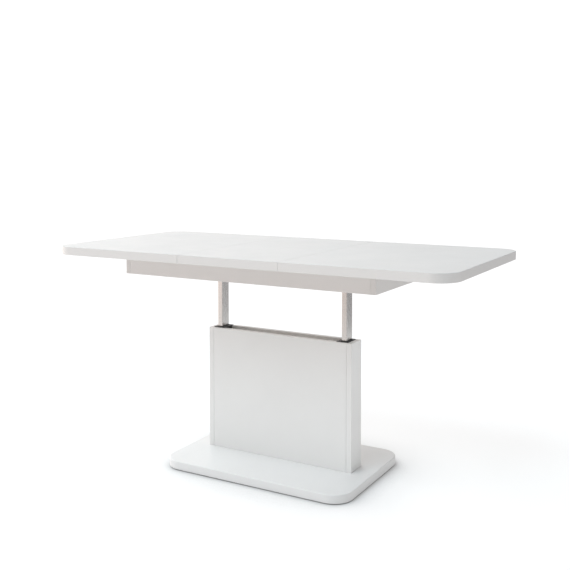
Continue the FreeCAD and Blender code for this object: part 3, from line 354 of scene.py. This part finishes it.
def satin_board(name, light, dark, arris, band):
    """White foil on board: faint clouds, fine orange peel, an arris colour (lighter than the face on
    most boards, a painted highlight), and any edge band.
    """
    shader = Shader(name)
    scale, strength, height = FOIL_GRAIN
    clouds = shader.noise(FOIL_CLOUD_SCALE, detail=4.0)
    face = shader.two_tone(clouds, dark, light, NARROW_SPREAD)
    if band:
        face = shader.mix(shader.upright(), face, band)
    # Arris colour mixed in along the edges; where it is lighter than the face it is a painted highlight
    shader.vary("Base Color", shader.mix(shader.arrises(FOIL_ARRIS), face, arris))
    handling = shader.noise(FOIL_HANDLING_SCALE, detail=5.0)
    shader.vary("Roughness", shader.between(handling, FOIL_ROUGHNESS))
    shader.bump(shader.noise(scale, detail=2.0), strength, height)
    shader.fix("Specular IOR Level", FOIL_SPECULAR)
    return shader.material


def brushed_metal(name, light, dark, roughness, along):
    """Metal brushed along one axis: streaks in colour, roughness and height."""
    shader = Shader(name)
    scale, strength, height = METAL_GRAIN
    stretch = tuple(METAL_BRUSHING if axis == along else 1.0 for axis in "xyz")
    streaks = shader.noise(scale, detail=4.0, roughness=0.6, stretch=stretch)
    face = shader.two_tone(streaks, dark, light, WIDE_SPREAD)
    smudges = shader.between(shader.noise(METAL_SMUDGE_SCALE, detail=4.0), METAL_SMUDGE)
    shader.vary("Base Color", shader.mix(smudges, face, dark))
    shader.vary("Roughness", shader.between(streaks, roughness))
    shader.bump(streaks, strength, height)
    shader.fix("Metallic", 1.0)
    shader.fix("Anisotropic", METAL_ANISOTROPY)
    return shader.material


def moulded_plastic(name, light, dark, roughness):
    """Fine-grained moulded plastic with rubbed arrises."""
    shader = Shader(name)
    scale, strength, height = PLASTIC_GRAIN
    grain = shader.noise(scale, detail=3.0)
    face = shader.two_tone(shader.noise(PLASTIC_MOTTLE_SCALE), dark, light, NARROW_SPREAD)
    rubbed = tuple(min(1.0, PLASTIC_RUB_GAIN * part + PLASTIC_RUB_LIFT) for part in light)
    shader.vary("Base Color", shader.mix(shader.arrises(PLASTIC_ARRIS), face, rubbed))
    shader.vary("Roughness", shader.between(grain, roughness))
    shader.bump(grain, strength, height)
    return shader.material


def raw_wood(name, light, dark):
    """Beech: pores along X and soft colour bands."""
    shader = Shader(name)
    scale, strength, height = WOOD_GRAIN
    bands = shader.noise(WOOD_BAND_SCALE, detail=4.0, stretch=WOOD_BAND_STRETCH)
    pores = shader.noise(scale, detail=2.0, stretch=WOOD_PORE_STRETCH)
    face = shader.two_tone(bands, dark, light, WIDE_SPREAD)
    shader.vary("Base Color", shader.mix(shader.between(pores, WOOD_PORE), face, dark))
    shader.vary("Roughness", shader.between(pores, WOOD_ROUGHNESS))
    shader.bump(pores, strength, height)
    return shader.material


def pressed_felt(name, light, dark):
    """Pressed felt: tangled fibres and a soft sheen."""
    shader = Shader(name)
    scale, strength, height = FELT_GRAIN
    fibres = shader.noise(scale, detail=6.0, roughness=0.7)
    shader.vary("Base Color", shader.two_tone(fibres, dark, light, NARROW_SPREAD))
    shader.vary("Roughness", shader.between(fibres, FELT_ROUGHNESS))
    shader.bump(fibres, strength, height)
    shader.fix("Sheen Weight", FELT_SHEEN)
    return shader.material


def glowing_floor_with_painted_shade():
    """Pale speckled floor that glows in the open, and less where something stands near: an occlusion
    mask dims the glow there as painted shade.
    """
    shader = Shader("floor")
    speckle = shader.noise(FLOOR_SPECKLE_SCALE, detail=4.0)
    shader.vary("Base Color", shader.two_tone(speckle, FLOOR_DARK, FLOOR_LIGHT, WIDE_SPREAD))
    shader.vary("Roughness", shader.between(speckle, FLOOR_ROUGHNESS))
    shader.fix("Specular IOR Level", FLOOR_SPECULAR)
    # Painted shade: the glow follows the occlusion, so the floor darkens near the object as a painted
    # contact shadow
    painted_shade_openness = shader.add("ShaderNodeAmbientOcclusion", samples=FLOOR_PAINTED_SHADE_SAMPLES)
    painted_shade_openness.inputs["Distance"].default_value = FLOOR_PAINTED_SHADE_REACH
    painted_shade_falloff = shader.add("ShaderNodeMath", operation="POWER")
    painted_shade_falloff.inputs[1].default_value = FLOOR_PAINTED_SHADE_FALLOFF
    shader.link(painted_shade_openness.outputs["AO"], painted_shade_falloff.inputs[0])
    shader.vary("Emission Color", painted_shade_falloff.outputs["Value"])
    shader.fix("Emission Strength", FLOOR_GLOW)
    return shader.material


def make_materials():
    """Every material of the object, by name."""
    made = {
        "beech": raw_wood("beech", *BEECH),
        "felt": pressed_felt("felt", *FELT),
    }
    families = ((satin_board, BOARDS), (brushed_metal, METALS), (moulded_plastic, PLASTICS))
    for make, rows in families:
        for name, values in rows.items():
            made[name] = make(name, *values)
    return made


def dress_cad_nodes(materials):
    """Every CAD node takes its own material, or else the one of its slot."""
    for name, node in NODES.items():
        chosen = NODE_MATERIAL.get(name, SLOT_MATERIAL[SLOT_OF[name]])
        node.data.materials.clear()
        node.data.materials.append(materials[chosen])


# ---------------------------------------------------------------- small parts made here

def box_in_millimetres(node):
    """Lowest and highest corner of a CAD node at rest, in millimetres."""
    low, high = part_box(node)
    return low / MM, high / MM


def new_object(name, points, faces, material):
    """Smooth-shaded mesh object from points in millimetres."""
    mesh = bpy.data.meshes.new(name)
    mesh.from_pydata([tuple(part * MM for part in point) for point in points], [], faces)
    mesh.polygons.foreach_set("use_smooth", [True] * len(mesh.polygons))
    mesh.materials.append(material)
    piece = bpy.data.objects.new(name, mesh)
    bpy.context.scene.collection.objects.link(piece)
    return piece


def post_corner(sign_x, sign_y, start):
    """Arc round one corner of a post: rows of (x, y, outward x, outward y)."""
    centre_x = sign_x * (POST_HALF[0] - POST_CORNER)
    centre_y = sign_y * (POST_HALF[1] - POST_CORNER)
    rows = []
    for step in range(POST_CORNER_POINTS):
        angle = math.radians(start + 90.0 * step / (POST_CORNER_POINTS - 1))
        out_x, out_y = math.cos(angle), math.sin(angle)
        rows.append((centre_x + POST_CORNER * out_x, centre_y + POST_CORNER * out_y, out_x, out_y))
    return rows


def post_outline():
    """Closed outline of a post: rows of (x, y, outward x, outward y)."""
    signs = ((1, 1), (-1, 1), (-1, -1), (1, -1))
    corners = [post_corner(x, y, 90.0 * turn) for turn, (x, y) in enumerate(signs)]
    rows = []
    for index, corner in enumerate(corners):
        rows.extend(corner)
        from_x, from_y, out_x, out_y = corner[-1]
        to_x, to_y = corners[(index + 1) % len(corners)][0][:2]
        for step in range(1, POST_STRAIGHT_STEPS):
            part = step / POST_STRAIGHT_STEPS
            x = from_x + (to_x - from_x) * part
            y = from_y + (to_y - from_y) * part
            rows.append((x, y, out_x, out_y))
    return rows


def swept_ring(centre_x, base_z, section_at):
    """Points and faces of a closed section carried once round a post.

    The section is a list of (outward, up) points, and may change with the distance along the outline.
    """
    outline = post_outline()
    points = []
    distance = 0.0
    for index, (x, y, out_x, out_y) in enumerate(outline):
        if index:
            distance += math.dist((x, y), outline[index - 1][:2])
        for outward, up in section_at(distance):
            points.append((centre_x + x + out_x * outward, y + out_y * outward, base_z + up))
    size = len(points) // len(outline)
    faces = []
    for ring in range(len(outline)):
        following = (ring + 1) % len(outline)
        for step in range(size):
            beyond = (step + 1) % size
            faces.append((
                ring * size + step,
                following * size + step,
                following * size + beyond,
                ring * size + beyond,
            ))
    return points, faces


def weld_section(distance):
    """Fillet weld under a flange, its throat rippling along the run."""
    ripple = WELD_RIPPLE * abs(math.sin(math.pi * distance / WELD_RIPPLE_PITCH))
    leg = WELD_LEG + ripple
    face = [(outward * leg, -down * leg) for outward, down in WELD_FACE]
    return [(-WELD_BITE, WELD_BITE), (-WELD_BITE, -leg)] + face + [(leg, WELD_BITE)]


def lip_section(distance):
    """Soft wiper lip standing on a guide cap, the same at every distance."""
    return LIP_SECTION


def make_post_rings(materials):
    """Weld beads under the post flanges, wiper lips on the guide caps."""
    for side in ("left", "right"):
        post_low, post_high = box_in_millimetres(side + "_post")
        post_x = (post_low.x + post_high.x) / 2
        flange_bottom = post_high.z - FLANGE_THICKNESS
        cap_top = box_in_millimetres(side + "_guide_cap")[1].z
        bead_shape = swept_ring(post_x, flange_bottom, weld_section)
        bead = new_object(side + "_weld_bead", *bead_shape, materials["weld_bead"])
        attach(bead, "lifting_frame")
        lip_shape = swept_ring(post_x, cap_top, lip_section)
        lip = new_object(side + "_wiper_lip", *lip_shape, materials["wiper_rubber"])
        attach(lip, "base_assembly")


def grip_radius(along, length, radius):
    """Radius of the grip at a distance from its middle: smooth hub, ribbed halves, rounded ends."""
    from_end = length / 2 - abs(along)
    if from_end < GRIP_END_RADIUS:
        inset = GRIP_END_RADIUS - from_end
        return radius - GRIP_END_RADIUS + math.sqrt(max(0.0, GRIP_END_RADIUS ** 2 - inset ** 2))
    beyond_hub = abs(along) - GRIP_HUB_HALF
    if beyond_hub < 0 or from_end < GRIP_END_RADIUS + GRIP_RIB_PITCH:
        return radius
    wave = 0.5 - 0.5 * math.cos(2 * math.pi * beyond_hub / GRIP_RIB_PITCH)
    return radius - GRIP_RIB_DEPTH * wave


def grip_points(low, high):
    """Points of a ribbed grip along X that fills a box: an end point, rings, and an end point."""
    middle = (low + high) / 2
    length = high.x - low.x
    full_radius = (high.y - low.y) / 2
    points = [(low.x, middle.y, middle.z)]
    for step in range(GRIP_STEPS + 1):
        along = length * (step / GRIP_STEPS - 0.5)
        radius = grip_radius(along, length, full_radius)
        for turn in range(GRIP_AROUND):
            angle = 2 * math.pi * turn / GRIP_AROUND
            y = middle.y + radius * math.cos(angle)
            z = middle.z + radius * math.sin(angle)
            points.append((middle.x + along, y, z))
    points.append((high.x, middle.y, middle.z))
    return points


def make_grip(materials):
    """Ribbed grip in place of the plain one."""
    points = grip_points(*box_in_millimetres("lever_grip"))
    last = len(points) - 1
    faces = []
    for turn in range(GRIP_AROUND):
        beyond = (turn + 1) % GRIP_AROUND
        faces.append((0, 1 + beyond, 1 + turn))
        faces.append((last, last - GRIP_AROUND + turn, last - GRIP_AROUND + beyond))
        for step in range(GRIP_STEPS):
            ring = 1 + step * GRIP_AROUND
            following = ring + GRIP_AROUND
            faces.append((ring + turn, ring + beyond, following + beyond, following + turn))
    grip = new_object("ribbed_grip", points, faces, materials["black_plastic"])
    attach(grip, "release_lever_assembly")
    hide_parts("lever_grip")


# ---------------------------------------------------------------- stage, light and camera

def make_floor():
    """Pale square floor."""
    half = FLOOR_SIZE / 2
    corners = [(-half, -half, 0.0), (half, -half, 0.0), (half, half, 0.0), (-half, half, 0.0)]
    mesh = bpy.data.meshes.new("floor")
    mesh.from_pydata(corners, [], [(0, 1, 2, 3)])
    mesh.materials.append(glowing_floor_with_painted_shade())
    floor = bpy.data.objects.new("floor", mesh)
    bpy.context.scene.collection.objects.link(floor)


def make_world():
    """White studio: broad soft lobes of light, and a plain backdrop that only the camera sees."""
    world = bpy.data.worlds.new("studio")
    world.use_nodes = True
    bpy.context.scene.world = world
    nodes = Nodes(world.node_tree)
    towards = nodes.add("ShaderNodeTexCoord").outputs["Generated"]
    lobes = [nodes.lobe(towards, direction, colour) for direction, colour in LOBES]
    light = lobes[0]
    for lobe in lobes[1:]:
        light = nodes.plus(light, lobe)
    path = nodes.add("ShaderNodeLightPath")
    shown = nodes.mix(path.outputs["Is Camera Ray"], light, BACKDROP)
    nodes.link(shown, nodes.tree.nodes["Background"].inputs["Color"])


def make_suns():
    """Soft suns, each shining from its direction."""
    for name, direction, angle, energy, colour in SUNS:
        data = bpy.data.lights.new(name, "SUN")
        data.energy = energy
        data.angle = math.radians(angle)
        data.color = colour
        light = bpy.data.objects.new(name, data)
        light.rotation_mode = "QUATERNION"
        light.rotation_quaternion = Vector(direction).to_track_quat("Z", "Y")
        bpy.context.scene.collection.objects.link(light)


def make_camera():
    """Camera at the photograph's angle."""
    data = bpy.data.cameras.new("camera")
    data.sensor_width = CAMERA_SENSOR
    data.lens = CAMERA_LENS
    data.shift_x, data.shift_y = CAMERA_SHIFT
    data.clip_start, data.clip_end = CAMERA_CLIP
    camera = bpy.data.objects.new("camera", data)
    camera.location = CAMERA_PLACE
    camera.rotation_euler = (math.pi / 2 - CAMERA_PITCH, 0.0, CAMERA_YAW)
    bpy.context.scene.collection.objects.link(camera)
    bpy.context.scene.camera = camera


MATERIALS = make_materials()
dress_cad_nodes(MATERIALS)
make_post_rings(MATERIALS)
make_grip(MATERIALS)
make_floor()
make_world()
make_suns()
make_camera()
bpy.context.scene.view_settings.view_transform = "Standard"
